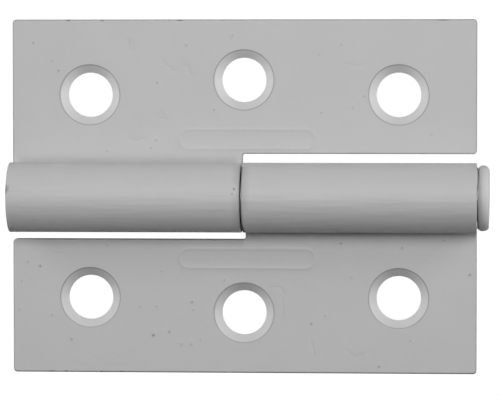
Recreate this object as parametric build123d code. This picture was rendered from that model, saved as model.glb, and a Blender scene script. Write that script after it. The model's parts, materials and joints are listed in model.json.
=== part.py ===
"""Lift-off hinge: two alike stamped and rolled steel leaves on one headed pin.

The hinge lies open and flat. The leaves' backs are on Z = 0, the pin runs along X with its
head at +X, and the pin leaf lies at -Y. The lift-off leaf is the same stamping turned half
round about Z, and it comes off the pin towards -X. The origin is at the middle of the
hinge's box, on the plane of the leaves' backs. Lengths are in millimetres.
"""

import math
import os

from build123d import *

# Sheet and leaf
leaf_length = 75.0  # along the pin
leaf_reach = 28.55  # from the pin's axis to the leaf's long outer edge
sheet = 1.8
corner_round = 0.6  # outer corners of the leaf, seen from the front
edge_bevel = 0.15  # broken edge all round the sheet, on its front and back

# Pin, and the knuckles rolled round it
pin_diameter = 7.5
pin_clearance = 0.05  # all round, between pin and bore
knuckle_gap = 0.2  # between the two knuckles' meeting ends
curl_gap = 0.25  # between the curl's free edge and the leaf's front face
curl_corner_round = 0.6  # the two corners of the curl's free edge
pin_engagement = 33.0  # length of pin that stands in the lift-off leaf's knuckle
nose_length = 1.6  # lead-in cone at the pin's free end
nose_angle = 20.0  # between the cone's side and the pin's axis

# Pin head
head_diameter = 10.5
head_thickness = 1.8
head_gap = 0.3  # between the head and the knuckle's end
head_outer_round = 0.75
head_inner_round = 0.25

# Slit along the other leaf's knuckle
slit_width = 1.3  # from the other knuckle's side to this leaf's inner edge
slit_overrun = 0.15  # how far the slit runs in past the end of this leaf's own knuckle
slit_round = 0.45  # inside corner at the slit's end
slit_undercut = 1.0  # how far the slit's end reaches in under the knuckle's side

# Countersunk screw holes: two outer ones on a line, the middle one further out
hole_diameter = 7.15
countersink_diameter = 9.75
countersink_angle = 90.0
outer_hole_inset = 12.55  # from the leaf's short edges
outer_hole_reach = 16.4  # from the pin's axis
middle_hole_reach = 18.8

# Derived sizes and places
bore_radius = pin_diameter / 2 + pin_clearance
knuckle_radius = bore_radius + sheet
knuckle_start = knuckle_gap / 2  # from the hinge's middle
knuckle_length = leaf_length / 2 - knuckle_start
inner_edge_reach = knuckle_radius + slit_width
slit_end = knuckle_start + slit_overrun
outer_hole_offset = leaf_length / 2 - outer_hole_inset
curl_end_drop = math.degrees(math.asin((knuckle_radius - sheet - curl_gap) / knuckle_radius))
curl_wrap = 270.0 + curl_end_drop

# The head makes the box longer at +X, so the leaves' middle is a little to -X of the origin
hinge_middle = Location((-(head_gap + head_thickness) / 2, 0, 0))
pin_height = knuckle_radius  # the knuckles rest on the plane of the leaves' backs


def at(value, target):
    """Whether a coordinate lies on a given plane."""
    return abs(value - target) < 0.001


def blade():
    """The flat of the stamping, with a slit along its inner edge and a tongue for the curl."""
    with BuildPart() as plate:
        with BuildSketch() as outline:
            Rectangle(leaf_length, leaf_reach, align=(Align.CENTER, Align.MAX))
            with Locations((slit_end, 0)):
                Rectangle(leaf_length, inner_edge_reach, align=(Align.MAX, Align.MAX), mode=Mode.SUBTRACT)
            with Locations((knuckle_start, 0)):
                tongue_depth = inner_edge_reach - slit_width - slit_undercut
                Rectangle(knuckle_length, tongue_depth, align=(Align.MIN, Align.MAX))
            corners = outline.vertices().filter_by(lambda v: v.Y < -inner_edge_reach + 0.001)
            fillet(corners.filter_by(lambda v: at(v.X, slit_end)), slit_round)
            fillet(corners.filter_by(lambda v: not at(v.X, slit_end)), corner_round)
        extrude(amount=sheet)
        rims = plate.edges().filter_by(lambda edge: at(edge.bounding_box().size.Z, 0))
        chamfer(rims.filter_by(lambda edge: edge.center().Y < -0.001), edge_bevel)
    return plate.part


def curl():
    """The sheet's section rolled up and over the pin, back to just above the blade's front."""
    pin_axis = Axis((0, 0, pin_height), (1, 0, 0))
    with BuildPart() as rolled:
        with BuildSketch(Plane.XZ) as section:
            with Locations((knuckle_start, 0)):
                Rectangle(knuckle_length, sheet, align=Align.MIN)
            chamfer(section.vertices(), edge_bevel)
        revolve(axis=pin_axis, revolution_arc=curl_wrap)
        ends = rolled.edges().filter_by(GeomType.LINE).filter_by(Axis.X, reverse=True)
        fillet(ends.filter_by(is_free_corner), curl_corner_round)
    return rolled.part


def is_free_corner(edge):
    """Whether an edge is one of the two corners of the curl's free edge."""
    return edge.length > sheet - 3 * edge_bevel and edge.center().Y < -0.001


def screw_hole(x, reach):
    """Cutter for one screw hole, its countersink open to the leaf's front."""
    cone_side = math.tan(math.radians(countersink_angle / 2))
    top_radius = countersink_diameter / 2
    hole_radius = hole_diameter / 2
    seat_depth = (top_radius - hole_radius) / cone_side
    profile = Polyline(
        (0, -sheet),
        (hole_radius, -sheet),
        (hole_radius, sheet - seat_depth),
        (top_radius, sheet),
        (top_radius, 2 * sheet),
        (0, 2 * sheet),
        close=True,
    )
    return Pos(x, -reach, 0) * revolve(Plane.XZ * make_face(profile), Axis.Z)


def leaf():
    """One leaf with its blade towards -Y and its knuckle at +X, about the hinge's middle."""
    sheet_metal = blade() + curl()
    for x, reach in (
        (-outer_hole_offset, outer_hole_reach),
        (0, middle_hole_reach),
        (outer_hole_offset, outer_hole_reach),
    ):
        sheet_metal -= screw_hole(x, reach)
    return sheet_metal


def headed_pin():
    """The pin turned about its own axis: lead-in nose, straight shank and round head."""
    tip = -knuckle_start - pin_engagement
    head_start = leaf_length / 2 + head_gap
    head_end = head_start + head_thickness
    shank_radius = pin_diameter / 2
    head_radius = head_diameter / 2
    nose_radius = shank_radius - nose_length * math.tan(math.radians(nose_angle))
    outline = Polyline(
        (tip, 0),
        (tip, nose_radius),
        (tip + nose_length, shank_radius),
        (head_start, shank_radius),
        (head_start, head_radius),
        (head_end, head_radius),
        (head_end, 0),
        close=True,
    )
    profile = make_face(outline)
    rim = profile.vertices().filter_by(lambda v: at(v.Y, head_radius)).sort_by(Axis.X)
    profile = fillet(rim[0], head_inner_round)
    profile = fillet(profile.vertices().sort_by(Axis.Y)[-1], head_outer_round)
    return Pos(0, 0, pin_height) * revolve(profile, Axis.X)


pin_leaf = leaf()
pieces = {
    "pin_leaf": hinge_middle * pin_leaf,
    "lift_off_leaf": hinge_middle * Rot(0, 0, 180) * pin_leaf,
    "hinge_pin": hinge_middle * headed_pin(),
}

os.makedirs("parts", exist_ok=True)
for name, piece in pieces.items():
    piece.label = name
    export_step(piece, f"parts/{name}.step")
    print(name, round(piece.volume, 1), "mm3")
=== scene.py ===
"""Lift-off hinge, open and flat: two stamped and rolled leaves, powder-coated, on a headed pin.

X runs along the pin with its head at +X, Z is up, and the leaves' backs lie on the floor. Each
leaf is drawn as the flat stamping that it was, with u along the pin and v towards the knuckle,
and is then rolled up in code. Sizes are in millimetres until a point is placed, in metres.
"""

import json
import logging
import math
import random
from collections.abc import Callable, Iterable
from dataclasses import dataclass, field
from enum import Enum, IntEnum

import bmesh
import bpy
from mathutils import Euler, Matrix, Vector
from mathutils.geometry import delaunay_2d_cdt


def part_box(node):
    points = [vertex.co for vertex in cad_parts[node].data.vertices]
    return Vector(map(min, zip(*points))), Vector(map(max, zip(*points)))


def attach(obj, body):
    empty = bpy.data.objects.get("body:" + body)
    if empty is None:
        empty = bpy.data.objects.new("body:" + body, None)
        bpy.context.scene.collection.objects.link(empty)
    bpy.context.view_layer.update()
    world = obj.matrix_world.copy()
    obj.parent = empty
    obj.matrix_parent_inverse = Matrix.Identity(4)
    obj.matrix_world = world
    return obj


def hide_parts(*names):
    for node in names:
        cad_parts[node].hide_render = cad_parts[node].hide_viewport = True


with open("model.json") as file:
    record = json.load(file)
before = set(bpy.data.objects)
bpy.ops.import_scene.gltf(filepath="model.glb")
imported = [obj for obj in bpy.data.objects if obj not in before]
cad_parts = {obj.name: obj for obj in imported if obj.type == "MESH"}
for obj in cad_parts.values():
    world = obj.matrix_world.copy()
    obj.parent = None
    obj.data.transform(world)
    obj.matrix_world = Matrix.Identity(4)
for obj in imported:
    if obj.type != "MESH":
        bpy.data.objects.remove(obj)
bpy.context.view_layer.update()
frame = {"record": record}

LOG = logging.getLogger("hinge")
MM = 0.001
WELD = 0.002  # points of the stamping closer than this are one, in millimetres
NEAR = 0.001  # a point this close to an edge is on it, in millimetres

Point = tuple[float, float]
Line = list[Point]
Loop = list[tuple[float, float, float, float]]  # each point's place, and how thin the coat is, with painted shade


def linear(hex_colour: str) -> tuple[float, float, float, float]:
    """Turns an sRGB hex colour into the linear values that shaders take.

    Args:
        hex_colour: the colour as six hex digits after a hash.

    Returns:
        Linear red, green, blue and an alpha of one.
    """
    shares = [int(hex_colour[place : place + 2], 16) / 255 for place in (1, 3, 5)]
    straight = [s / 12.92 if s <= 0.04045 else ((s + 0.055) / 1.055) ** 2.4 for s in shares]
    return (*straight, 1.0)


def add_node(
    tree: bpy.types.NodeTree,
    kind: str,
    inputs: dict[str | int, object] | None = None,
    **settings: object,
) -> bpy.types.Node:
    """Adds a node with its settings, and fills or links its inputs.

    Args:
        tree: the node tree that gets the node.
        kind: the node's Blender type.
        inputs: a value, or the output socket to link, for each input by name or number.
        settings: the node's own properties.

    Returns:
        The new node.
    """
    node = tree.nodes.new(kind)
    for name, value in settings.items():
        setattr(node, name, value)
    for name, value in (inputs or {}).items():
        if isinstance(value, bpy.types.NodeSocket):
            tree.links.new(value, node.inputs[name])
        else:
            node.inputs[name].default_value = value
    return node


def new_material(name: str) -> tuple[bpy.types.Material, bpy.types.Node]:
    """Starts a material.

    Args:
        name: the material's name.

    Returns:
        The material and its shader.
    """
    material = bpy.data.materials.new(name)
    material.use_nodes = True
    return material, material.node_tree.nodes["Principled BSDF"]


def clouds(
    tree: bpy.types.NodeTree, where: bpy.types.NodeSocket, size: float, detail: float
) -> bpy.types.NodeSocket:
    """Adds a cloudy pattern.

    Args:
        tree: the material's node tree.
        where: the coordinates, in metres.
        size: the size of its blots, in millimetres.
        detail: how many finer layers the pattern has.

    Returns:
        The pattern's value.
    """
    inputs = {"Vector": where, "Scale": 1 / (size * MM), "Detail": detail, "Roughness": 0.5}
    return add_node(tree, "ShaderNodeTexNoise", inputs).outputs["Fac"]


def mixed(
    tree: bpy.types.NodeTree, amount: object, first: object, second: object
) -> bpy.types.NodeSocket:
    """Mixes two colours, by how much there is of the second."""
    inputs = {"Factor": amount, 6: first, 7: second}
    return add_node(tree, "ShaderNodeMix", inputs, data_type="RGBA").outputs[2]


def mesh_value(tree: bpy.types.NodeTree, name: str) -> bpy.types.NodeSocket:
    """Reads a value that the pieces write on their mesh."""
    return add_node(tree, "ShaderNodeAttribute", attribute_name=name).outputs["Fac"]


def clamp(value: float) -> float:
    """Holds a value between nothing and one."""
    return min(1.0, max(0.0, value))


def fade(distance: float, reach: float) -> float:
    """Falls smoothly from one at no distance to nothing at the reach."""
    return (1 - (distance / reach) ** 2) ** 2 if distance < reach else 0.0


def circle(centre: Point, radius: float, count: int) -> Line:
    """Gives a closed ring of points, whose last point is its first.

    Args:
        centre: the ring's middle.
        radius: the ring's radius.
        count: how many points the ring has.

    Returns:
        The ring's points.
    """
    angles = [2 * math.pi * (k % count) / count for k in range(count + 1)]
    return [(centre[0] + radius * math.cos(a), centre[1] + radius * math.sin(a)) for a in angles]


class Layer(IntEnum):
    """What a face of a piece is covered with, as its material slot's number."""

    COAT = 0
    STEEL = 1


class Turn(Enum):
    """How a leaf lies in the hinge."""

    AS_DRAWN = "knuckle at the head's end"
    HALF_ROUND = "turned half round, knuckle at the pin's nose"


class Side(Enum):
    """The side of the sheet that a mark is on: the front is the inside of the curl."""

    FRONT = "front"
    BACK = "back"


# Finishes


@dataclass(frozen=True)
class PowderCoat:
    """Light grey polyester powder coat, sprayed and stoved on steel sheet.

    It looks satin and opaque, with a faint orange peel, slow patches where the powder lay a
    little thicker, and a darker line wherever it drew back from a sharp edge. Its colours also
    hold painted light and shade: lighter in the countersinks and at the pin leaf's knuckle foot,
    darker along edges, rims and creases, in the knuckles' joint and at the lift-off leaf's
    knuckle foot.
    """

    colour: str = "#D4D4D4"
    patch_colour: str = "#CECECE"
    powder_and_painted_light_colour: str = "#F0F0F0"  # where the powder lies thick, and painted light in the countersinks and at the knuckle's foot
    thin_coat_and_shade_colour: str = "#6E6E6E"  # over a sharp edge, where the coat drew back, and painted shade along edges, rims and creases
    dust_and_shade_colour: str = "#3C3C3C"  # grit caught in the coat, bared dark steel, and painted shade in the knuckles' joint
    # scuffed coat, and painted shade in the dip at the knuckle's foot
    scuff_and_shade_colour: str = "#969696"
    roughness: float = 0.55
    patch_size: float = 7.0
    peel_size: float = 1.3
    peel_height: float = 0.03
    wave_size: float = 9.0
    wave_height: float = 0.05
    grain_size: float = 0.35  # real powder grain is near 0.05 mm, too fine to show here
    grain_height: float = 0.002
    streak_size: float = 0.7  # drawing lines of the rolled sheet, seen through the coat
    streak_length: float = 7.0
    streak_height: float = 0.055

    def material(self) -> bpy.types.Material:
        """Makes the coat's material, which reads the values that the pieces write on their mesh.

        Returns:
            The material.
        """
        coat, shader = new_material("powder_coat_light_grey")
        tree = coat.node_tree
        where = add_node(tree, "ShaderNodeTexCoord").outputs["Object"]

        patches = clouds(tree, where, self.patch_size, 3.0)
        colour = mixed(tree, patches, linear(self.colour), linear(self.patch_colour))
        # besides grit, wear and thin coat, these layers paint light and shade: lighter in the
        # countersinks and at a knuckle's foot, darker along edges, rims and creases, in the joint
        # and in the dip by the knuckle
        for attribute, tint in (
            ("powder_and_painted_light", self.powder_and_painted_light_colour),
            ("scuff", self.scuff_and_shade_colour),
            ("rim", self.thin_coat_and_shade_colour),
            ("dust", self.dust_and_shade_colour),
        ):
            colour = mixed(tree, mesh_value(tree, attribute), colour, linear(tint))
        tree.links.new(colour, shader.inputs["Base Color"])

        drawn_out = (self.streak_size / self.streak_length, 1.0, 1.0)
        along = add_node(tree, "ShaderNodeMapping", {"Vector": where, "Scale": drawn_out})
        drawn = clouds(tree, along.outputs["Vector"], self.streak_size, 1.0)
        rolled = mesh_value(tree, "rolled")
        streaks = add_node(tree, "ShaderNodeMath", {0: drawn, 1: rolled}, operation="MULTIPLY")
        normal = None
        for pattern, height in (
            (clouds(tree, where, self.wave_size, 1.0), self.wave_height),
            (clouds(tree, where, self.peel_size, 2.0), self.peel_height),
            (clouds(tree, where, self.grain_size, 1.0), self.grain_height),
            (streaks.outputs["Value"], self.streak_height),
        ):
            inputs = {"Height": pattern, "Distance": height * MM}
            if normal:
                inputs["Normal"] = normal
            normal = add_node(tree, "ShaderNodeBump", inputs).outputs["Normal"]
        tree.links.new(normal, shader.inputs["Normal"])
        shader.inputs["Roughness"].default_value = self.roughness
        return coat


@dataclass(frozen=True)
class TurnedSteel:
    """Bare mild steel, turned to size and lightly oiled.

    It looks grey and softly metallic, with fine rings round the pin's axis, and no coat hides
    where it rubs in the knuckle.
    """

    colour: str = "#C6C4C0"
    stain_colour: str = "#9B9893"
    roughness: float = 0.44
    ring_spacing: float = 0.35  # a real feed mark is near 0.1 mm, drawn coarser to show
    ring_height: float = 0.0015
    stain_size: float = 5.0

    def material(self) -> bpy.types.Material:
        """Makes the bare steel's material.

        Returns:
            The material.
        """
        steel, shader = new_material("turned_mild_steel")
        tree = steel.node_tree
        where = add_node(tree, "ShaderNodeTexCoord").outputs["Object"]
        stains = clouds(tree, where, self.stain_size, 2.0)
        colour = mixed(tree, stains, linear(self.colour), linear(self.stain_colour))
        tree.links.new(colour, shader.inputs["Base Color"])
        waves = math.pi / 10 / (self.ring_spacing * MM)  # a wave is pi / 10 long at a scale of one
        rings = add_node(
            tree,
            "ShaderNodeTexWave",
            {"Vector": where, "Scale": waves, "Distortion": 0.6, "Detail": 1.0},
            bands_direction="X",
        ).outputs["Fac"]
        relief = {"Height": rings, "Distance": self.ring_height * MM}
        bump = add_node(tree, "ShaderNodeBump", relief)
        tree.links.new(bump.outputs["Normal"], shader.inputs["Normal"])
        shader.inputs["Metallic"].default_value = 1.0
        shader.inputs["Roughness"].default_value = self.roughness
        return steel


# Marks in the coat and relief in the sheet


@dataclass(frozen=True)
class Mark:
    """Something small on the sheet: where it is, what it raises and what it darkens."""

    def lines(self) -> list[Line]:
        """Gives the lines of points that the sheet's mesh needs to show the mark."""
        return []

    def relief(self, u: float, v: float) -> float:
        """Gives how far the mark raises the sheet at a place."""
        return 0.0

    def dust(self, u: float, v: float) -> float:
        """Gives how dark the mark is at a place."""
        return 0.0

    def scuff(self, u: float, v: float) -> float:
        """Gives how much the mark darkens the coat at a place: a scratch dulls it, a dip takes
        painted shade.
        """
        return 0.0


@dataclass(frozen=True)
class Nib(Mark):
    """A grain of dust under the coat: a low bump with a dark middle."""

    u: float
    v: float
    radius: float = 0.2
    darkness: float = 0.5
    height: float = 0.03
    skirt: float = 1.9  # the bump's foot, as a share of the dark grain's radius
    halo: float = 1.3  # how far the dark reaches, as a share of it

    def lines(self) -> list[Line]:
        """Gives the middle, the grain's edge and the foot of the bump."""
        here = (self.u, self.v)
        return [[here], *(circle(here, self.radius * s, 10) for s in (0.5, 1.0, self.skirt))]

    def relief(self, u: float, v: float) -> float:
        """Raises a low round bump."""
        return self.height * fade(math.dist((u, v), (self.u, self.v)), self.radius * self.skirt)

    def dust(self, u: float, v: float) -> float:
        """Darkens the grain, most at its middle."""
        return self.darkness * fade(math.dist((u, v), (self.u, self.v)), self.radius * self.halo)


@dataclass(frozen=True)
class Scratch(Mark):
    """A hair scratch through the coat's skin, along a few points."""

    path: tuple[Point, ...]
    width: float = 0.09
    depth: float = 0.012
    dullness: float = 0.24

    def lines(self) -> list[Line]:
        """Gives the scratch's bottom and its two sides.

        Returns:
            The three lines.
        """
        middle = self._even_points()
        sides: list[Line] = [[], []]
        for here, before, after in zip(middle, middle[:1] + middle, middle[1:] + middle[-1:]):
            along = Vector((after[0] - before[0], after[1] - before[1])).normalized() * self.width
            sides[0].append((here[0] - along.y, here[1] + along.x))
            sides[1].append((here[0] + along.y, here[1] - along.x))
        return [middle, *sides]

    def relief(self, u: float, v: float) -> float:
        """Cuts a shallow groove."""
        return -self.depth * fade(self._distance(u, v), self.width)

    def scuff(self, u: float, v: float) -> float:
        """Dulls the groove."""
        return self.dullness * fade(self._distance(u, v), self.width)

    def _even_points(self, step: float = 0.25) -> Line:
        """Splits the path into short steps.

        Args:
            step: the longest step.

        Returns:
            The path's own points and those between them.
        """
        points = [self.path[0]]
        for start, end in zip(self.path, self.path[1:]):
            cuts = max(1, math.ceil(math.dist(start, end) / step))
            for k in range(1, cuts + 1):
                points.append((
                    start[0] + (end[0] - start[0]) * k / cuts,
                    start[1] + (end[1] - start[1]) * k / cuts,
                ))
        return points

    def _distance(self, u: float, v: float) -> float:
        """Gives the distance from a place to the path.

        Args:
            u: the place along the pin.
            v: the place towards the knuckle.

        Returns:
            The distance to the path's nearest point.
        """
        here = Vector((u, v))
        nearest = math.inf
        for start, end in zip(self.path, self.path[1:]):
            first, run = Vector(start), Vector(end) - Vector(start)
            share = clamp((here - first).dot(run) / run.length_squared)
            nearest = min(nearest, (first + run * share - here).length)
        return nearest


@dataclass(frozen=True)
class Cartouche(Mark):
    """A plain raised frame with rounded ends, stamped with the sheet and left blank."""

    u: float
    v: float
    half_length: float = 11.0
    half_width: float = 1.55
    ridge: float = 0.36  # half the width of the frame's ridge, at its foot
    height: float = 0.06

    def lines(self) -> list[Line]:
        """Gives the ridge's feet, shoulders and crest."""
        return [self._ring(out * self.ridge) for out in (-1.0, -0.6, -0.25, 0.25, 0.6, 1.0)]

    def relief(self, u: float, v: float) -> float:
        """Raises the frame's ridge."""
        from_middle = math.hypot(max(0.0, abs(u - self.u) - self._straight()), v - self.v)
        return self.height * fade(abs(from_middle - self.half_width), self.ridge)

    def _straight(self) -> float:
        """Gives half the length of the frame's straight sides."""
        return self.half_length - self.half_width

    def _ring(self, out: float, cuts: int = 16, step: float = 0.4) -> Line:
        """Gives one closed line of the frame.

        Args:
            out: how far outside the crest it runs.
            cuts: how many pieces each rounded end has.
            step: the longest step along the straight sides.

        Returns:
            The line's points, whose last is its first.
        """
        radius = self.half_width + out
        bend = [math.pi * k / cuts for k in range(cuts + 1)]
        right = [(self._straight() + radius * math.sin(a), -radius * math.cos(a)) for a in bend]
        steps = math.ceil(2 * self._straight() / step)
        top = [(self._straight() * (1 - 2 * k / steps), radius) for k in range(1, steps)]
        half = right + top
        whole = half + [(-u, -v) for u, v in half] + half[:1]
        return [(self.u + u, self.v + v) for u, v in whole]


@dataclass(frozen=True)
class RollingDip(Mark):
    """A shallow dip along the knuckle's foot, where the rolling tool bore down on the sheet,
    darkened with painted shade beside the knuckle.
    """

    start: float = 0.7
    end: float = 37.0
    outer: float = -7.0  # along v, where the dip begins
    floor: float = -5.4
    inner: float = -2.5
    depth: float = 0.15
    foot_shade: float = 0.34  # how dark the painted shade in it is
    foot_shade_run: float = 1.3  # how far out from the floor the painted shade reaches
    end_run: float = 1.2  # how far from its ends the dip has its full depth
    rows: tuple[float, ...] = (-6.7, -6.4, -6.1, -5.8, -5.5, -5.2, -4.6, -3.9, -3.2)

    def lines(self) -> list[Line]:
        """Gives lines along the knuckle, close enough to draw the dip."""
        run = [self.start + (self.end - self.start) * k / 45 for k in range(46)]
        return [[(u, v) for u in run] for v in self.rows]

    def relief(self, u: float, v: float) -> float:
        """Sinks the sheet, and nothing at the dip's ends."""
        run = self.floor - self.outer if v < self.floor else self.inner - self.floor
        return -self.depth * fade(abs(v - self.floor), run) * self._share(u)

    def scuff(self, u: float, v: float) -> float:
        """Darkens the dip with painted shade, most at the knuckle's foot."""
        dip_shade = fade(max(0.0, self.floor - v), self.foot_shade_run) if v < self.inner else 0.0
        return self.foot_shade * dip_shade * self._share(u)

    def _share(self, u: float) -> float:
        """Gives one along the dip, falling to nothing at its ends."""
        return 1 - fade(max(0.0, min(u - self.start, self.end - u)), self.end_run)


@dataclass(frozen=True)
class EdgeChip(Mark):
    """A place on the sheet's edge where the coat has come off the dark steel.

    The edge's own points are close enough to draw it.
    """

    u: float
    v: float
    half_u: float
    half_v: float
    darkness: float = 0.95

    def dust(self, u: float, v: float) -> float:
        """Shows the dark steel, most at the chip's middle."""
        across = math.hypot((u - self.u) / self.half_u, (v - self.v) / self.half_v)
        return self.darkness * fade(across, 1.0) ** 0.5


@dataclass(frozen=True)
class DarkEndWedge(Mark):
    """A dark wedge at the knuckle's end, widest at its side."""

    u: float  # the knuckle's end
    v: float  # the knuckle's side
    run: float = 5.6
    reach: float = 0.85
    darkness: float = 0.92
    bend: float = 1.5  # how much the wedge's border curves
    blur: float = 0.2  # how wide the border is
    rows: tuple[float, ...] = (0.35, 0.5, 0.65, 0.8, 0.95, 1.1)  # distances from the end

    def lines(self) -> list[Line]:
        """Gives lines along the knuckle's end, close enough to draw the wedge."""
        steps = [self.v - self.run + 0.25 * k for k in range(29)]
        return [[(self.u + out, v) for v in steps] for out in self.rows]

    def dust(self, u: float, v: float) -> float:
        """Darkens the wedge, with a soft border.

        Args:
            u: the place along the pin.
            v: the place towards the knuckle.

        Returns:
            How dark the place is.
        """
        share = clamp(1 - (self.v - v) / self.run)
        if share == 0:
            return 0.0
        border = self.reach * share**self.bend
        return self.darkness * clamp((border - u + self.u) / self.blur + 0.5)


# Outlines


@dataclass(frozen=True)
class Corner:
    """A corner of the stamping's outline, square or rounded."""

    u: float
    v: float
    radius: float = 0.0


@dataclass(frozen=True)
class Outline:
    """A closed outline with square turns, running anticlockwise."""

    corners: tuple[Corner, ...]
    step: float = 0.3
    arc_cuts: int = 8

    def loop(self, inset: float) -> Line:
        """Gives the outline moved inwards, with as many points for every inset.

        Args:
            inset: how far inside the outline the loop runs.

        Returns:
            The loop's points, without its first again at the end.
        """
        bends = [self._bend(number, inset) for number in range(len(self.corners))]
        plain = [self._bend(number, 0.0) for number in range(len(self.corners))]
        points: Line = []
        for number, bend in enumerate(bends):
            following = (number + 1) % len(bends)
            start, end = bend[-1], bends[following][0]
            cuts = max(1, math.ceil((plain[following][0] - plain[number][-1]).length / self.step))
            points += [tuple(point) for point in bend]
            points += [tuple(start.lerp(end, k / cuts)) for k in range(1, cuts)]
        return points

    def _bend(self, number: int, inset: float) -> list[Vector]:
        """Gives the points of one corner of the inset outline.

        Args:
            number: the corner's number in the outline.
            inset: how far inside the outline the points lie.

        Returns:
            One point for a square corner, or those of an arc.
        """
        corner = self.corners[number]
        before = self.corners[number - 1]
        after = self.corners[(number + 1) % len(self.corners)]
        here = Vector((corner.u, corner.v))
        inwards = (here - Vector((before.u, before.v))).normalized()
        onwards = (Vector((after.u, after.v)) - here).normalized()
        if corner.radius == 0:
            left_of_both = Vector((-inwards.y - onwards.y, inwards.x + onwards.x))
            return [here + left_of_both * inset]
        turn = inwards.x * onwards.y - inwards.y * onwards.x
        centre = here + (onwards - inwards) * corner.radius
        radius = corner.radius - turn * inset
        angles = [math.pi / 2 * k / self.arc_cuts for k in range(self.arc_cuts + 1)]
        return [centre + (inwards * math.sin(a) - onwards * math.cos(a)) * radius for a in angles]


@dataclass(frozen=True)
class Ring:
    """One step of a section: how far in or out it lies, how high, and how thin the coat is, with
    painted shade.
    """

    across: float
    height: float
    rim: float = 0.0


# Pieces


@dataclass(frozen=True)
class TornPaint:
    """Paint that bridged a gap and tore: a ragged lip that stands out from an edge."""

    tongues: tuple[tuple[float, float, float], ...]  # place along the edge, half width, reach
    ragged: float = 0.02
    grain: float = 0.3  # how long each ragged step is
    seed: int = 5

    def reach(self, place: float) -> float:
        """Gives how far the lip stands out at a place along the edge, in millimetres."""
        noise = random.Random(self.seed + int(place / self.grain)).uniform(0.0, self.ragged)
        return noise + max(reach * fade(abs(place - at), half) for at, half, reach in self.tongues)


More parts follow.
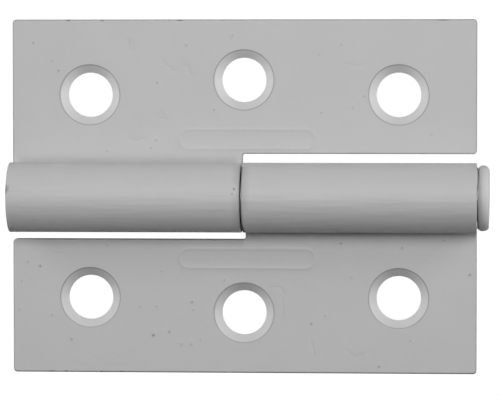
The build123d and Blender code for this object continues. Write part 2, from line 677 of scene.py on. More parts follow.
@dataclass
class Leaf:
    """One leaf: a blade with three countersunk holes, and a knuckle rolled from the same sheet.

    The driving sizes are the real leaf's. Its length, reach, knuckle and hole places come from
    the frame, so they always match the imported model.
    """

    name: str
    node: str
    turn: Turn
    front_marks: tuple[Mark, ...] = ()
    back_marks: tuple[Mark, ...] = ()
    torn_paint: TornPaint | None = None  # at the knuckle's outer end
    bridging_paint: TornPaint | None = None  # at its inner end, over the gap
    bright_end: tuple[float, float] = (-9.0, 0.0)  # where the inner end is left without painted shade: v, half length
    thick_coat: float = 0.0  # how much lighter the blade is than the other leaf's, where the powder lies thicker; it scales the foot's painted light too
    edge_wear_and_shade: float = 1.0  # how much darker the outer long edge is: thinner coat, and on the pin leaf painted shade
    sheet: float = 1.8
    front_round: float = 0.25  # the coated edge all round the front
    back_round: float = 0.15
    corner_round: float = 0.6
    curl_corner_round: float = 0.6
    curl_gap: float = 0.25
    knuckle_gap: float = 0.2
    slit_width: float = 1.3
    slit_overrun: float = 0.15
    slit_round: float = 0.45
    slit_undercut: float = 1.0
    countersink_diameter: float = 9.75
    countersink_lip: float = 0.12  # the short upright step at the countersink's rim
    joint_painted_shade: float = 1.0  # painted shade on the knuckle's inner end, in the joint
    hole_points: int = 96
    blade_grid: float = 1.1
    curl_grid: float = 0.3
    grid_clearance: float = 0.35  # from the edge's round to the nearest point of the grid
    hole_clearance: float = 0.5
    foot: float = -1.0  # v where the blade ends and the bend begins
    edge_ease: float = 0.07  # a flat step beside each of the edge's rounds
    side_heights: tuple[float, ...] = (1.1, 0.6, 0.4, 0.25)
    edge_thinness_and_shade: tuple[float, float, float] = (0.7, 0.25, 0.2)  # of the coat, with painted shade: front, side, back
    edge_zone: float = 0.3  # how near the blade's outer edges their own wear begins
    slit_zone: float = 0.4  # how far past the slit's end the coat covers the edge well
    wear_run: float = 4.0  # from the knuckle's foot to where the short edge is fully worn
    countersink_slope: float = 0.92  # with the lip, about as deep as a cone of 90 degrees
    cone_painted_light: float = 0.35  # the painted light on a countersink's sides, where its ends along the pin have one
    foot_painted_light: float = 4.0  # how many times more painted light lies at the knuckle's foot, in the knuckle's shade
    foot_offset: float = 0.6  # from the knuckle's side, seen from above, to that painted light
    foot_run: float = 2.5  # how far from there it fades
    full_bridge: float = 0.1  # paint that reaches this far over the gap hides the end's painted shade
    shade_rise: float = 1.5  # from the foot to where the inner end's painted shade is full
    outside_painted_shade: float = 0.4  # painted shade on the knuckle's outside beside the joint
    outside_run: float = 0.4  # how far along the knuckle that reaches
    lip_height: float = 0.25  # where on the sheet's edge torn paint stands out
    lip_half: float = 0.3
    holes: list[Point] = field(default_factory=list)

    def __post_init__(self) -> None:
        """Takes the leaf's size and its holes' places from the frame."""
        low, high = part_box(self.node)
        self.middle = (low.x + high.x) / 2 / MM
        self.length = (high.x - low.x) / MM
        self.reach = max(high.y, -low.y) / MM
        self.knuckle_radius = high.z / 2 / MM
        self.neutral_radius = self.knuckle_radius - self.sheet / 2
        end_drop = (self.knuckle_radius - self.sheet - self.curl_gap) / self.knuckle_radius
        self.roll_length = self.neutral_radius * (1.5 * math.pi + math.asin(end_drop))
        self.inner_edge = self.knuckle_radius + self.slit_width
        for mount in frame["record"]["mounts"]:
            if mount["name"].startswith(self.node) and mount["kind"] in ("bolt_pattern", "bore"):
                self._take_holes(mount)

    def _take_holes(self, mount: dict) -> None:
        """Adds a mount's holes to the leaf's, as places on the stamping.

        Args:
            mount: the mount, from the frame's record.
        """
        half = mount["dims"].get("spacing_x_mm", 0.0) / 2
        self.hole_radius = mount["dims"].get("hole_r_mm") or mount["dims"]["r_mm"]
        v = -abs(mount["pos_m"][1]) / MM
        self.holes += [(-half, v), (half, v)] if half else [(0.0, v)]

    def build(self, coat: bpy.types.Material, steel: bpy.types.Material) -> bpy.types.Object:
        """Makes the leaf, and dresses and hangs it in the frame.

        Args:
            coat: the powder coat's material.
            steel: the bare steel's material, for the inside of the knuckle.

        Returns:
            The leaf's object.
        """
        stamping = bmesh.new()
        outline = self._outline()
        self._add_edges(stamping, outline)
        for hole in self.holes:
            self._add_hole(stamping, hole)
        for side in Side:
            self._add_face(stamping, outline, side)
        bmesh.ops.remove_doubles(stamping, verts=stamping.verts, dist=WELD)
        bmesh.ops.join_triangles(
            stamping,
            faces=[face for face in stamping.faces if len(face.verts) == 3],
            angle_face_threshold=math.radians(2),
            angle_shape_threshold=math.radians(25),
        )
        self._dress(stamping)
        for vert in stamping.verts:
            vert.co = self.place(*vert.co)
        bmesh.ops.recalc_face_normals(stamping, faces=stamping.faces)
        if stamping.calc_volume(signed=True) < 0:
            bmesh.ops.reverse_faces(stamping, faces=stamping.faces)
        piece = as_object(stamping, self.name, (coat, steel))
        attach(piece, self.node)
        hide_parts(self.node)
        return piece

    def place(self, u: float, v: float, w: float) -> Vector:
        """Rolls a point of the flat stamping into the leaf and lays it in the hinge.

        Args:
            u: the place along the pin, from the leaf's middle.
            v: the place towards the knuckle, from below the pin's axis.
            w: the height above the sheet's back.

        Returns:
            The point in the frame, in metres.
        """
        if v > 0:
            angle = v / self.neutral_radius
            radius = self.knuckle_radius - w
            v = radius * math.sin(angle)
            w = self.knuckle_radius - radius * math.cos(angle)
        if self.turn is Turn.HALF_ROUND:
            u, v = -u, -v
        return Vector((u + self.middle, v, w)) * MM

    def _outline(self) -> Outline:
        """Gives the stamping's outline: the blade, the slit and the tongue for the knuckle.

        Returns:
            The outline, flat.
        """
        half = self.length / 2
        start = self.knuckle_gap / 2
        slit_end = start + self.slit_overrun
        under = self.slit_undercut - self.knuckle_radius
        return Outline((
            Corner(-half, -self.reach, self.corner_round),
            Corner(half, -self.reach, self.corner_round),
            Corner(half, self.roll_length, self.curl_corner_round),
            Corner(start, self.roll_length, self.curl_corner_round),
            Corner(start, under),
            Corner(slit_end, under),
            Corner(slit_end, -self.inner_edge, self.slit_round),
            Corner(-half, -self.inner_edge, self.corner_round),
        ))

    def _edge_section(self) -> list[Ring]:
        """Gives the section of the sheet's edge, from its front over the side to its back.

        Returns:
            Rings, each so far inside the outline.
        """
        front_thin, side_thin, back_thin = self.edge_thinness_and_shade
        quarter = [math.radians(a) for a in (0, 25, 50, 70, 90)]
        front = [
            Ring(
                self.front_round * (1 - math.sin(a)),
                self.sheet - self.front_round * (1 - math.cos(a)),
                front_thin * math.sin(a) ** 2,
            )
            for a in quarter
        ]
        back = [
            Ring(
                self.back_round * (1 - math.cos(a)),
                self.back_round * (1 - math.sin(a)),
                back_thin,
            )
            for a in quarter
        ]
        return [
            Ring(self.front_round + self.edge_ease, self.sheet),
            *front,
            *(Ring(0.0, height, side_thin) for height in self.side_heights),
            *back,
            Ring(self.back_round + self.edge_ease, 0.0),
        ]

    def _hole_section(self) -> list[Ring]:
        """Gives the section of a hole's wall, from the front down the countersink to the back.

        Returns:
            Rings, each so far from the hole's middle.
        """
        rim = self.countersink_diameter / 2
        top = self.sheet
        lip = self.countersink_lip
        seat = top - lip - (rim - self.hole_radius) * self.countersink_slope
        bore = self.hole_radius
        return [
            # the plate, the rim's small round and the step below it, darkened at the rim by thin
            # coat and painted shade
            Ring(rim + 0.22, top),
            Ring(rim + 0.12, top),
            Ring(rim + 0.05, top - 0.01, 0.2),
            Ring(rim + 0.01, top - 0.04, 0.48),
            Ring(rim, top - lip, 0.48),
            # the cone, from the step to the bore, darkened at its top by painted shade
            Ring(rim - 0.03, top - lip - 0.02, 0.45),
            Ring(rim - 0.10, top - lip - 0.09, 0.2),
            Ring(rim - 0.18, top - lip - 0.17),
            Ring(bore + 0.06, seat + 0.055),
            # the bore and its eased edge at the back
            Ring(bore, seat - 0.03),
            Ring(bore, 0.2),
            Ring(bore + 0.03, 0.06),
            Ring(bore + 0.10, 0.0),
            Ring(bore + 0.17, 0.0),
        ]

    def _add_edges(self, stamping: bmesh.types.BMesh, outline: Outline) -> None:
        """Adds the sheet's edge all round the stamping."""
        rings = [(ring, outline.loop(ring.across)) for ring in self._edge_section()]
        add_bands(stamping, [[(u, v, r.height, r.rim) for u, v in line] for r, line in rings])

    def _add_hole(self, stamping: bmesh.types.BMesh, hole: Point) -> None:
        """Adds the wall of one screw hole."""
        rings = [(r, circle(hole, r.across, self.hole_points)[:-1]) for r in self._hole_section()]
        add_bands(stamping, [[(u, v, r.height, r.rim) for u, v in line] for r, line in rings])

    def _add_face(self, stamping: bmesh.types.BMesh, outline: Outline, side: Side) -> None:
        """Adds the sheet's front or back, between its edge and the holes.

        Args:
            stamping: the mesh that gets the face.
            outline: the stamping's outline.
            side: the side of the sheet.
        """
        is_front = side is Side.FRONT
        marks = self.front_marks if is_front else self.back_marks
        edge = self._edge_section()[0 if is_front else -1]
        rim = self._hole_section()[0 if is_front else -1]
        border = outline.loop(edge.across)
        lines = [border + border[:1]]
        lines += [circle(hole, rim.across, self.hole_points) for hole in self.holes]
        for mark in marks:
            lines += mark.lines()
        sign = 1 if is_front else -1
        nearest = rim.across * math.cos(math.pi / self.hole_points)

        def height(u: float, v: float) -> float:
            """Gives the face's height, with what its marks raise or sink."""
            return edge.height + sign * sum(mark.relief(u, v) for mark in marks)

        def keep(u: float, v: float) -> bool:
            """Tells whether a place is on the sheet and not over a hole."""
            clear = all(math.dist((u, v), hole) > nearest for hole in self.holes)
            return clear and self._covers(u, v, edge.across)

        fill(stamping, lines, self._grid(), keep, height)

    def _covers(self, u: float, v: float, margin: float) -> bool:
        """Tells whether a place lies on the stamping, clear of its edge.

        Args:
            u: the place along the pin.
            v: the place towards the knuckle.
            margin: how far inside the edge it has to lie.

        Returns:
            Whether it is in the blade, in the tongue, or in the slit's rounded corner.
        """
        half = self.length / 2 - margin
        in_blade = -self.reach + margin < v < -self.inner_edge - margin and abs(u) < half
        start = self.knuckle_gap / 2 + margin
        in_tongue = -self.inner_edge - 1 < v < self.roll_length - margin and start < u < half
        bend = self.slit_round - self.slit_overrun - self.knuckle_gap / 2
        du, dv = u + bend, v + self.inner_edge - self.slit_round
        past_bend = math.hypot(du, dv) > self.slit_round + margin - 0.005
        in_bend = past_bend and 0 < du < start + bend and -self.slit_round - margin <= dv < 0
        return in_blade or in_tongue or in_bend

    def _grid(self) -> Line:
        """Gives an even grid of points over the blade, and a finer one where the sheet bends.

        Returns:
            The points that lie clear of the edges and the holes.
        """
        clear = self.front_round + self.grid_clearance
        rim = self.countersink_diameter / 2 + self.hole_clearance
        columns = round(self.length / self.blade_grid)
        rows = math.floor((self.reach + self.foot) / self.blade_grid + 0.5)
        bends = round(self.roll_length / self.curl_grid)
        down = [-self.reach + (row + 0.5) * self.blade_grid for row in range(rows)]
        down += [bend * self.roll_length / bends for bend in range(-2, bends)]
        along = [-self.length / 2 + (column + 0.5) * self.blade_grid for column in range(columns)]
        return [
            (u, v)
            for v in down
            for u in along
            if self._covers(u, v, clear) and all(math.dist((u, v), h) > rim for h in self.holes)
        ]

    def _dress(self, stamping: bmesh.types.BMesh) -> None:
        """Writes the values that the coat reads, painted light and shade among them, shapes torn
        paint and bares the bore's steel.

        Args:
            stamping: the leaf's mesh, still flat.
        """
        values = stamping.verts.layers.float
        # these layers hold painted light and shade as well as grit, scuffs and thin coat
        dust = values.new("dust")
        scuff = values.new("scuff")
        rolled = values.new("rolled")
        powder_and_painted_light = values.new("powder_and_painted_light")
        rim = values["rim"]
        for vert in stamping.verts:
            u, v, w = vert.co
            marks = self.front_marks if w > self.sheet / 2 else self.back_marks
            vert[dust] = max((mark.dust(u, v) for mark in marks), default=0.0)
            vert[scuff] = max((mark.scuff(u, v) for mark in marks), default=0.0)
            vert[rolled] = 1.0 if v > 0 else 0.0
            vert[powder_and_painted_light] = self._painted_light_and_tone(u, v)
            vert[rim] = self._thinness(u, v, w, vert[rim])
            if v > self.foot and u >= self.knuckle_gap / 2 - NEAR:
                self._dress_knuckle(vert, dust, rim)
        for face in stamping.faces:
            middle = face.calc_center_median()
            in_bore = middle.y > 0.5 and middle.z > self.sheet - 0.02  # past the foot, on the front
            face.material_index = Layer.STEEL if in_bore else Layer.COAT

    def _dress_knuckle(
        self, vert: bmesh.types.BMVert, dust: bmesh.types.BMLayerItem, rim: bmesh.types.BMLayerItem
    ) -> None:
        """Paints shade on a point of the knuckle beside the joint, and stands its torn paint out.

        Args:
            vert: the point, on the flat stamping.
            dust: the layer of how dark a point is.
            rim: the layer of how thin the coat is.
        """
        u, v, w = vert.co
        start = self.knuckle_gap / 2
        at_joint = u < start + NEAR
        bridged = self.bridging_paint.reach(v) if self.bridging_paint and v > 0 else 0.0
        from_bright = abs(v - self.bright_end[0]) - self.bright_end[1]
        # how much painted shade the joint puts on this point, left out where paint bridges the gap
        bare = min(clamp(0.5 + from_bright), max(0.0, 1 - bridged / self.full_bridge))
        if bare < 0.5:
            vert[rim] = 0.0
        # painted shade on the knuckle's inner end in the joint, and on its outside beside it
        if at_joint and w > self.back_round + 0.1:
            vert[dust] = self.joint_painted_shade * bare * min(1.0, (v - self.foot) / self.shade_rise)
        elif v > 0 and w < self.back_round:
            beside = self.outside_painted_shade * fade(u - start, self.outside_run)
            vert[dust] = max(vert[dust], self.joint_painted_shade * bare * beside)
        lip = fade(abs(w - self.lip_height), self.lip_half)
        if self.torn_paint and v > 0 and u > self.length / 2 - NEAR:
            vert.co.x += self.torn_paint.reach(v) * lip
        if at_joint:
            vert.co.x -= bridged * lip

    def _thinness(self, u: float, v: float, w: float, thin: float) -> float:
        """Gives how thin the coat is at a place, with the wear and painted shade of the leaf's
        edges.

        Args:
            u: the place along the pin.
            v: the place towards the knuckle.
            w: the height above the sheet's back.
            thin: how thin the coat is in the edge's section.

        Returns:
            The share of the thin coat and shade colour.
        """
        on_front_round = w > self.sheet - self.front_round - 0.01
        # darker front round on the outer long edge: wear, and on the pin leaf painted shade
        if v < self.edge_zone - self.reach and on_front_round:
            thin = min(1.0, thin * self.edge_wear_and_shade)
        slit_end = self.knuckle_gap / 2 + self.slit_overrun
        if 0.01 - self.inner_edge < v < self.foot and u < slit_end + self.slit_zone:
            thin = 0.0
        if u > self.length / 2 - self.edge_zone:
            thin *= clamp((self.foot - v) / self.wear_run)
        return thin

    def _painted_light_and_tone(self, u: float, v: float) -> float:
        """Gives how much lighter the coat is at a place on the stamping.

        A countersink's cone is lighter, most at its ends along the pin, as painted light. Where a
        leaf's coat lies thicker its blade is lighter, and its knuckle's foot lighter still, as
        painted light in the knuckle's shade.

        Args:
            u: the place along the pin.
            v: the place towards the knuckle.

        Returns:
            The share of the lighter colour.
        """
        rim = self.countersink_diameter / 2
        # a countersink's cone takes painted light, most at its ends along the pin
        for hole in self.holes:
            away = math.dist((u, v), hole)
            if self.hole_radius + 0.02 < away < rim - 0.05:  # the cone, without its two rims
                return self.cone_painted_light + (1 - self.cone_painted_light) * ((u - hole[0]) / away) ** 2
        # the knuckle's foot takes painted light, in the knuckle's shade
        from_foot = max(0.0, -self.knuckle_radius - self.foot_offset - v)
        at_foot = self.foot_painted_light * fade(from_foot, self.foot_run) if u > 0 else 0.0
        return self.thick_coat * (1 + at_foot) if v < self.foot else 0.0


@dataclass
class HeadedPin:
    """The pin: a turned shank with a lead-in nose, and a coated head formed on its end."""

    name: str = "headed_pin"
    node: str = "hinge_pin"
    shank_diameter: float = 7.5
    nose_length: float = 1.6
    nose_slope: float = math.radians(20)
    head_thickness: float = 1.8
    outer_round: float = 0.8  # the worn edge of the head's face, mean and swing round the rim
    outer_swing: float = 0.2
    outer_run: float = 0.98  # how far along the rim that edge's curve runs
    inner_round: float = 0.55
    inner_run: float = 0.7
    crease_shade: float = 0.3  # painted shade in the crease under the head, most on its -Y side
    lighter_end: float = 1.3  # how far from the head's face its coat is lighter
    dome: float = 0.06  # how much the head's face swells at its middle
    lean: float = 0.012  # the head stands slightly askew: millimetres along X for each across Y
    shoulder_radius: float = 4.95  # upset under the head, it all but meets the knuckle's end
    shoulder_height: float = 0.26
    coat_start: float = 0.1  # how far behind the head's back its coat begins
    shank_step: float = 3.0
    segments: int = 144
    head_cuts: int = 8
    torn_paint: TornPaint = TornPaint(((1.25, 0.75, 0.07), (2.9, 0.5, 0.05)), ragged=0.015, seed=40)

    def __post_init__(self) -> None:
        """Takes the pin's ends, its height and its head's size from the frame."""
        low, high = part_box(self.node)
        self.tip = low.x / MM
        self.end = high.x / MM
        self.height = (low.z + high.z) / 2 / MM
        self.head_radius = (high.y - low.y) / 2 / MM

    def build(self, coat: bpy.types.Material, steel: bpy.types.Material) -> bpy.types.Object:
        """Turns the pin about its axis, and dresses and hangs it in the frame.

        Args:
            coat: the powder coat's material, for the head.
            steel: the bare steel's material, for the shank.

        Returns:
            The pin's object.
        """
        turned = bmesh.new()
        angles = [2 * math.pi * k / self.segments for k in range(self.segments)]
        loops = [list(loop) for loop in zip(*(self._points(angle) for angle in angles))]
        add_bands(turned, loops)
        add_cap(turned, loops[0], (self.tip, 0.0, 0.0))
        add_cap(turned, loops[-1], (self.end - self._lean_room(), 0.0, 0.0))
        bmesh.ops.remove_doubles(turned, verts=turned.verts, dist=WELD)
        # the head's coat is lighter towards its face
        powder_and_painted_light = turned.verts.layers.float.new("powder_and_painted_light")
        for vert in turned.verts:
            vert[powder_and_painted_light] = max(0.0, 1 - (self.end - vert.co.x) / self.lighter_end)
        neck = self.end - self.head_thickness - self.coat_start
        for face in turned.faces:
            on_head = face.calc_center_median().x > neck
            face.material_index = Layer.COAT if on_head else Layer.STEEL
        for vert in turned.verts:
            vert.co = (vert.co + Vector((0.0, 0.0, self.height))) * MM
        bmesh.ops.recalc_face_normals(turned, faces=turned.faces)
        piece = as_object(turned, self.name, (coat, steel))
        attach(piece, self.node)
        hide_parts(self.node)
        return piece

    def _lean_room(self) -> float:
        """Gives how far the head's face is held back, so that its leaning edge stays in the box."""
        return self.lean * self.head_radius

    def _points(self, angle: float) -> Loop:
        """Gives the section's points at an angle round the pin, from its nose to the head."""
        y, z = math.cos(angle), math.sin(angle)
        return [(r.height, r.across * y, r.across * z, r.rim) for r in self._section(angle)]

    def _section(self, angle: float) -> list[Ring]:
        """Gives the pin's section at an angle round it, from its nose to the head's middle.

        Args:
            angle: the angle round the pin from the side towards +Y.

        Returns:
            Rings whose height is their place along the pin.
        """
        shank = self.shank_diameter / 2
        nose = shank - self.nose_length * math.tan(self.nose_slope)
        back = self.end - self.head_thickness
        step = back - self.shoulder_height
        lengths = [self.tip + self.nose_length + 0.25]
        while lengths[-1] + self.shank_step < step:
            lengths.append(lengths[-1] + self.shank_step)
        shoulder = self.shoulder_radius
        return [
            # the nose's flat end and its eased edge
            Ring(nose - 0.15, self.tip),
            Ring(nose - 0.05, self.tip + 0.02),
            Ring(nose + 0.02, self.tip + 0.1),
            # the lead-in cone and the shank
            Ring(shank - 0.06, self.tip + self.nose_length - 0.1),
            Ring(shank - 0.01, self.tip + self.nose_length + 0.08),
            *(Ring(shank, place) for place in lengths),
            # the shoulder and the head
            Ring(shank, step - 0.05),
            Ring(shank + 0.02, step),
            Ring(shoulder - 0.06, step),
            Ring(shoulder, step + 0.05),
            *self._head(angle),
        ]

    def _head(self, angle: float) -> list[Ring]:
        """Gives the head's part of the section: its inner edge, its rim and its face.

        Args:
            angle: the angle round the pin from the side towards +Y.

        Returns:
            Rings whose height is their place along the pin.
        """
        back = self.end - self.head_thickness
        front = self.end - self.dome
        edge = self.outer_round + self.outer_swing * math.cos(angle)
        quarter = [math.pi / 2 * k / self.head_cuts for k in range(self.head_cuts + 1)]
        radius = self.head_radius
        torn = self.torn_paint.reach(angle)
        inner = [
            Ring(
                radius - self.inner_round * (1 - math.sin(a)),
                back + self.inner_run * (1 - math.cos(a)) - torn * math.cos(a) ** 2,
                self.crease_shade * (1 - math.cos(angle)) * math.cos(a),
            )
            for a in quarter
        ]
        outer = [
            Ring(radius - edge * (1 - math.cos(a)), front - self.outer_run * (1 - math.sin(a)))
            for a in quarter
        ]
        flat = radius - edge
        face = [
            Ring(flat * share, self.end - self.dome * share**2) for share in (0.85, 0.65, 0.4, 0.15)
        ]
        leaning = []
        for ring in (*inner, *outer, *face):
            shift = self.lean * ring.across * math.cos(angle) - self._lean_room()
            leaning.append(Ring(ring.across, ring.height + shift, ring.rim))
        return leaning


def add_bands(mesh: bmesh.types.BMesh, loops: list[Loop]) -> None:
    """Joins closed loops of as many points each by bands of quads.

    Args:
        mesh: the mesh that gets the bands.
        loops: the loops, in order.
    """
    rim = mesh.verts.layers.float.get("rim") or mesh.verts.layers.float.new("rim")
    rows = []
    for loop in loops:
        row = []
        for x, y, z, thin in loop:
            vert = mesh.verts.new((x, y, z))
            vert[rim] = thin
            row.append(vert)
        rows.append(row)
    for row, following in zip(rows, rows[1:]):
        for k, vert in enumerate(row):
            before = k - 1
            mesh.faces.new((row[before], vert, following[k], following[before]))


def add_cap(mesh: bmesh.types.BMesh, loop: Loop, middle: tuple[float, float, float]) -> None:
    """Closes a loop with a fan of triangles.

    Args:
        mesh: the mesh that gets the fan.
        loop: the loop to close.
        middle: where the triangles meet.
    """
    hub = mesh.verts.new(middle)
    rim = [mesh.verts.new(point[:3]) for point in loop]
    for k, vert in enumerate(rim):
        mesh.faces.new((rim[k - 1], vert, hub))


def fill(
    mesh: bmesh.types.BMesh,
    lines: Iterable[Line],
    loose: Line,
    keep: Callable[[float, float], bool],
    height: Callable[[float, float], float],
) -> None:
    """Fills an outline with triangles that keep to its lines.

    Args:
        mesh: the mesh that gets the triangles.
        lines: the lines of points that triangles may not cross, the outline first.
        loose: more points to use inside.
        keep: tells whether a triangle with its middle at a place is wanted.
        height: gives the height at a place.
    """
    points: list[Vector] = []
    edges: list[tuple[int, int]] = []
    for line in lines:
        edges += [(len(points) + k, len(points) + k + 1) for k in range(len(line) - 1)]
        points += [Vector(point) for point in line]
    points += [Vector(point) for point in loose]
    inside, same = 1, 1e-5  # triangles inside the lines only, and points this close are one
    found, _, triangles, *_ = delaunay_2d_cdt(points, edges, [], inside, same)
    verts: dict[int, bmesh.types.BMVert] = {}
    for triangle in triangles:
        middle = sum((found[k] for k in triangle), Vector((0.0, 0.0))) / 3
        if not keep(*middle):
            continue
        for k in triangle:
            if k not in verts:
                verts[k] = mesh.verts.new((*found[k], height(*found[k])))
        mesh.faces.new([verts[k] for k in triangle])


def as_object(
    mesh: bmesh.types.BMesh, name: str, materials: Iterable[bpy.types.Material]
) -> bpy.types.Object:
    """Turns a finished mesh into a smooth-shaded object in the scene.

    Args:
        mesh: the mesh, which is freed.
        name: the object's name.
        materials: the materials, in the order of Layer.

    Returns:
        The new object.
    """
    data = bpy.data.meshes.new(name)
    mesh.to_mesh(data)
    mesh.free()
    data.shade_smooth()
    for material in materials:
        data.materials.append(material)
    piece = bpy.data.objects.new(name, data)
    bpy.context.scene.collection.objects.link(piece)
    return piece


# Studio


@dataclass(frozen=True)
class Lamp:
    """A square of soft light: where it stands and how strong it is."""

    name: str
    place: tuple[float, float, float]  # from the hinge's middle, in millimetres
    watts: float
    width: float = 130.0

    def build(self) -> None:
        """Hangs the lamp so that it faces the hinge."""
        light = bpy.data.lights.new(self.name, "AREA")
        light.size = self.width * MM
        light.energy = self.watts
        lamp = bpy.data.objects.new(self.name, light)
        lamp.location = Vector(self.place) * MM
        lamp.rotation_euler = (-lamp.location).to_track_quat("-Z", "Y").to_euler()
        lamp.visible_camera = False
        bpy.context.scene.collection.objects.link(lamp)


@dataclass(frozen=True)
class Studio:
    """A white floor that curves up far off, five soft lamps and the camera overhead."""

    lamps: tuple[Lamp, ...] = (
        Lamp("overhead_lamp", (0.0, 82.8, 309.1), 0.505),
        Lamp("right_rear_lamp", (251.2, 145.0, 135.2), 0.19),
        Lamp("left_rear_lamp", (-251.2, 145.0, 135.2), 0.175),
        Lamp("right_lamp", (309.1, 0.0, 82.8), 0.125),
        Lamp("left_lamp", (-309.1, 0.0, 82.8), 0.095),
    )
    floor_colour: str = "#F4F4F4"
    floor_glow: float = 1.15
    table_radius: float = 90.0
    floor_radius: float = 1500.0
    sweep: float = 600.0
    wall_height: float = 2600.0
    sweep_cuts: int = 12
    floor_points: int = 96
    table_drop: float = 0.05  # how far the table top lies below the leaves' backs
    floor_drop: float = 0.6
    camera_place: tuple[float, float, float] = (36.52, 24.51, 550.79)
    camera_turn: tuple[float, float, float] = (-2.609, 3.812, -0.029)  # about X, Y and Z
    lens: float = 245.85

    def build(self) -> None:
        """Sets the floor, the lamps, the dark room round them and the camera."""
        scene = bpy.context.scene
        scene.view_settings.view_transform = "Standard"
        world = bpy.data.worlds.new("dark_room")
        world.use_nodes = True
        world.node_tree.nodes["Background"].inputs["Strength"].default_value = 0.0
        scene.world = world
        for lamp in self.lamps:
            lamp.build()
        self._floor()
        self._camera()

    def _floor(self) -> None:
        """Makes the sweep that the camera sees, and the table top that throws light back.

        The sweep glows and is for the camera alone, so that it stays white in the hinge's shade.
        The table top lies over it and is for the light alone: what falls on it comes back through
        the holes, as from the real white table.
        """
        bend = [math.pi / 2 * k / self.sweep_cuts for k in range(1, self.sweep_cuts + 1)]
        edge = self.floor_radius
        far = [(edge + self.sweep * math.sin(a), self.sweep * (1 - math.cos(a))) for a in bend]
        top = [(self.table_radius * share, 0.0) for share in (0.2, 0.6, 1.0)]
        ring = [*top, (edge * 0.4, 0.0), (edge, 0.0), *far, (edge + self.sweep, self.wall_height)]
        for name, profile, drop, glow in (
            ("table_top", top, self.table_drop, 0.0),
            ("floor_sweep", ring, self.floor_drop, self.floor_glow),
        ):
            mesh = bmesh.new()
            loops = []
            for radius, height in profile:
                points = circle((0.0, 0.0), radius, self.floor_points)[:-1]
                loops.append([(x, y, height - drop, 0.0) for x, y in points])
            add_bands(mesh, loops)
            add_cap(mesh, loops[0], (0.0, 0.0, -drop))
            bmesh.ops.remove_doubles(mesh, verts=mesh.verts, dist=WELD)
            bmesh.ops.scale(mesh, vec=(MM, MM, MM), verts=mesh.verts)
            bmesh.ops.recalc_face_normals(mesh, faces=mesh.faces)
            floor = as_object(mesh, name, (self._floor_paint(glow),))
            floor.visible_camera = glow > 0
            floor.visible_diffuse = glow == 0
            floor.visible_glossy = False

    def _floor_paint(self, glow: float) -> bpy.types.Material:
        """Makes the floor's matt white.

        Args:
            glow: how strongly it glows.

        Returns:
            The material.
        """
        paint, shader = new_material("matt_white_paint")
        white = linear(self.floor_colour)
        for name, value in (
            ("Base Color", white),
            ("Roughness", 1.0),
            ("Specular IOR Level", 0.0),
            ("Emission Color", white),
            ("Emission Strength", glow),
        ):
            shader.inputs[name].default_value = value
        return paint

    def _camera(self) -> None:
        """Sets the camera over the hinge, looking almost straight down."""
        data = bpy.data.cameras.new("camera")
        data.lens = self.lens
        data.clip_start = 0.01
        camera = bpy.data.objects.new("camera", data)
        camera.location = Vector(self.camera_place) * MM
        camera.rotation_euler = Euler([math.radians(a) for a in self.camera_turn], "ZYX")
        bpy.context.scene.collection.objects.link(camera)
        bpy.context.scene.camera = camera


# The hinge


def nibs(radius: float, darkness: float, *places: Point) -> tuple[Nib, ...]:
    """Makes dust nibs of one size at some places on the stamping."""
    return tuple(Nib(u, v, radius, darkness) for u, v in places)


def long_edge_chips(
    *chips: tuple[float, float, float], v: float = -28.45, half_v: float = 0.21
) -> tuple[EdgeChip, ...]:
    """Makes chips on the long outer edge, each from its u, half length and darkness."""
    return tuple(EdgeChip(u, v, half_u, half_v, darkness) for u, half_u, darkness in chips)


LIFT_OFF_FRONT: tuple[Mark, ...] = (
    RollingDip(),
    Cartouche(-0.5, -9.25),
    Nib(30.0, -20.3, 0.22, 0.45),
    Nib(34.1, -24.8, 0.18, 0.4),
    Nib(31.0, -21.9, 0.16, 0.3),
    Nib(9.3, -24.4, 0.18, 0.35),
    Nib(1.8, -26.0, 0.15, 0.3),
    Nib(4.8, -14.0, 0.17, 0.4),
    Nib(14.0, -18.4, 0.16, 0.35),
    Nib(14.2, -9.1, 0.16, 0.3),
    Nib(15.0, -7.8, 0.15, 0.3),
    Nib(22.1, -7.3, 0.15, 0.3),
    Nib(-12.5, -13.6, 0.16, 0.35),
    Nib(-17.6, -14.4, 0.15, 0.3),
    Nib(-19.4, -16.2, 0.17, 0.35),
    Nib(-12.2, -22.9, 0.15, 0.3),
    Nib(-15.7, -24.5, 0.16, 0.3),
    Nib(-30.2, -10.0, 0.3, 0.12, 0.02),
    Scratch(((13.2, -22.1), (12.7, -21.4), (11.9, -21.0), (11.5, -20.3), (11.0, -20.4))),
    Scratch(((9.7, -21.2), (9.1, -21.3), (8.7, -20.7), (8.7, -20.1), (8.4, -19.7))),
    Scratch(((13.5, -12.8), (12.4, -12.5))),
    Scratch(((-16.4, -21.5), (-18.8, -21.1))),
    Scratch(((18.5, -24.7), (18.4, -23.7))),
    Scratch(((17.9, -24.7), (17.8, -23.7))),
    Scratch(((14.2, -13.2), (13.6, -13.7), (12.7, -12.9))),
    Scratch(((2.1, -26.2), (2.3, -25.6), (1.9, -25.2))),
    Scratch(((18.2, -9.3), (17.4, -9.0), (16.6, -9.4), (15.9, -9.2))),
    *long_edge_chips((28.4, 0.5, 0.8), (22.9, 0.35, 0.8), (10.4, 0.6, 0.7), (-32.0, 1.2, 0.5)),
)
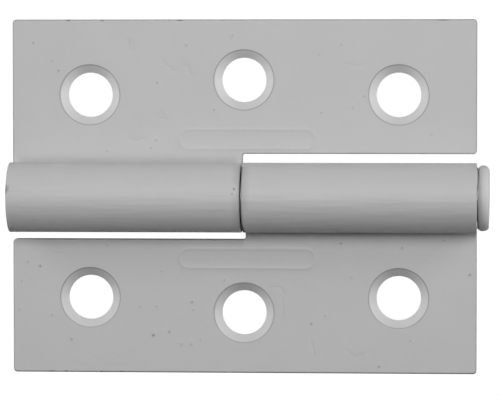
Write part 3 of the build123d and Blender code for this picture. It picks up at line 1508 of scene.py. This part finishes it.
PIN_LEAF_FRONT: tuple[Mark, ...] = (
    Cartouche(0.5, -10.0),
    *nibs(0.24, 0.7, (-14.7, -22.5)),
    *nibs(0.22, 0.6, (36.4, -12.5), (-33.1, -11.3)),
    *nibs(0.2, 0.55, (15.7, -7.5)),
    *nibs(0.2, 0.5, (25.5, -8.2)),
    *nibs(0.2, 0.55, (-8.4, -17.1)),
    *nibs(0.2, 0.5, (-12.1, -21.9), (-28.0, -23.2), (10.9, -20.5), (21.8, -27.4)),
    *nibs(0.16, 0.35, (-35.1, -10.6)),
    *nibs(0.16, 0.3, (-36.1, -13.7), (-36.5, -18.4), (-31.2, -19.2)),
    *nibs(0.16, 0.35, (-8.2, -18.4)),
    *nibs(0.16, 0.3, (-7.0, -23.2), (-8.5, -23.9), (-10.1, -23.9)),
    *nibs(0.16, 0.35, (-16.9, -17.9)),
    *nibs(0.16, 0.3, (-14.1, -17.8), (-22.1, -8.0), (-13.3, -12.1), (-3.1, -13.5)),
    *nibs(0.16, 0.3, (17.4, -13.0), (13.1, -19.2), (26.9, -23.2)),
    *nibs(0.16, 0.35, (32.3, -7.0)),
    Scratch(((4.8, -14.5), (5.9, -14.6), (6.6, -15.8))),
    Scratch(((6.2, -16.3), (6.4, -17.8), (6.4, -19.2))),
    Scratch(((10.9, -23.2), (11.3, -24.5), (11.4, -25.7))),
    Scratch(((16.8, -24.7), (17.9, -25.8), (19.8, -25.2))),
    Scratch(((-30.4, -9.2), (-29.6, -9.1))),
    *long_edge_chips((-28.9, 0.35, 0.95), (-23.1, 0.3, 0.95), (-31.3, 0.7, 0.6), (-19.9, 0.4, 0.6)),
)


def barrel_place(across: float, outside: float = 5.6, neutral: float = 4.7) -> float:
    """Gives v on the stamping for a place on top of the knuckle.

    Args:
        across: how far the place lies from the pin's axis, seen from above, along the leaf's y.
        outside: the knuckle's radius.
        neutral: the radius of the sheet's middle in the knuckle.

    Returns:
        The place along the stamping.
    """
    return neutral * (math.pi - math.asin(across / outside))


def main() -> None:
    """Builds the hinge's pieces and the studio round them."""
    logging.basicConfig(level=logging.INFO, format="%(message)s")
    coat = PowderCoat().material()
    steel = TurnedSteel().material()
    pieces = (
        Leaf(
            "pin_leaf_coated",
            "pin_leaf",
            Turn.AS_DRAWN,
            front_marks=PIN_LEAF_FRONT,
            torn_paint=TornPaint(((11.2, 2.6, 0.13), (14.5, 0.35, 0.16))),
            back_marks=(DarkEndWedge(0.1, 22.2),),
            # painted shade along this leaf's outer long edge, which faces away from the lamps
            edge_wear_and_shade=4.5,
            thick_coat=0.16,
            bridging_paint=TornPaint(((8.2, 1.7, 0.2),), ragged=0.0),
        ),
        HeadedPin(),
        Leaf(
            "lift_off_leaf_coated",
            "lift_off_leaf",
            Turn.HALF_ROUND,
            front_marks=LIFT_OFF_FRONT,
            edge_wear_and_shade=1.4,
            bridging_paint=TornPaint(((21.6, 1.4, 0.2),), ragged=0.0),
            bright_end=(8.25, 1.75),
            back_marks=(
                Nib(0.95, barrel_place(-1.6), 0.2, 0.7),
                Nib(1.25, barrel_place(-0.85), 0.16, 0.45),
                EdgeChip(37.5, barrel_place(-1.5), 0.3, 0.9),
                Scratch(((36.8, barrel_place(-1.2)), (34.9, barrel_place(-1.25)))),
            ),
        ),
    )
    for piece in pieces:
        made = piece.build(coat, steel)
        LOG.info("%s: %d faces", made.name, len(made.data.polygons))
    Studio().build()


if __name__ == "__main__":
    main()
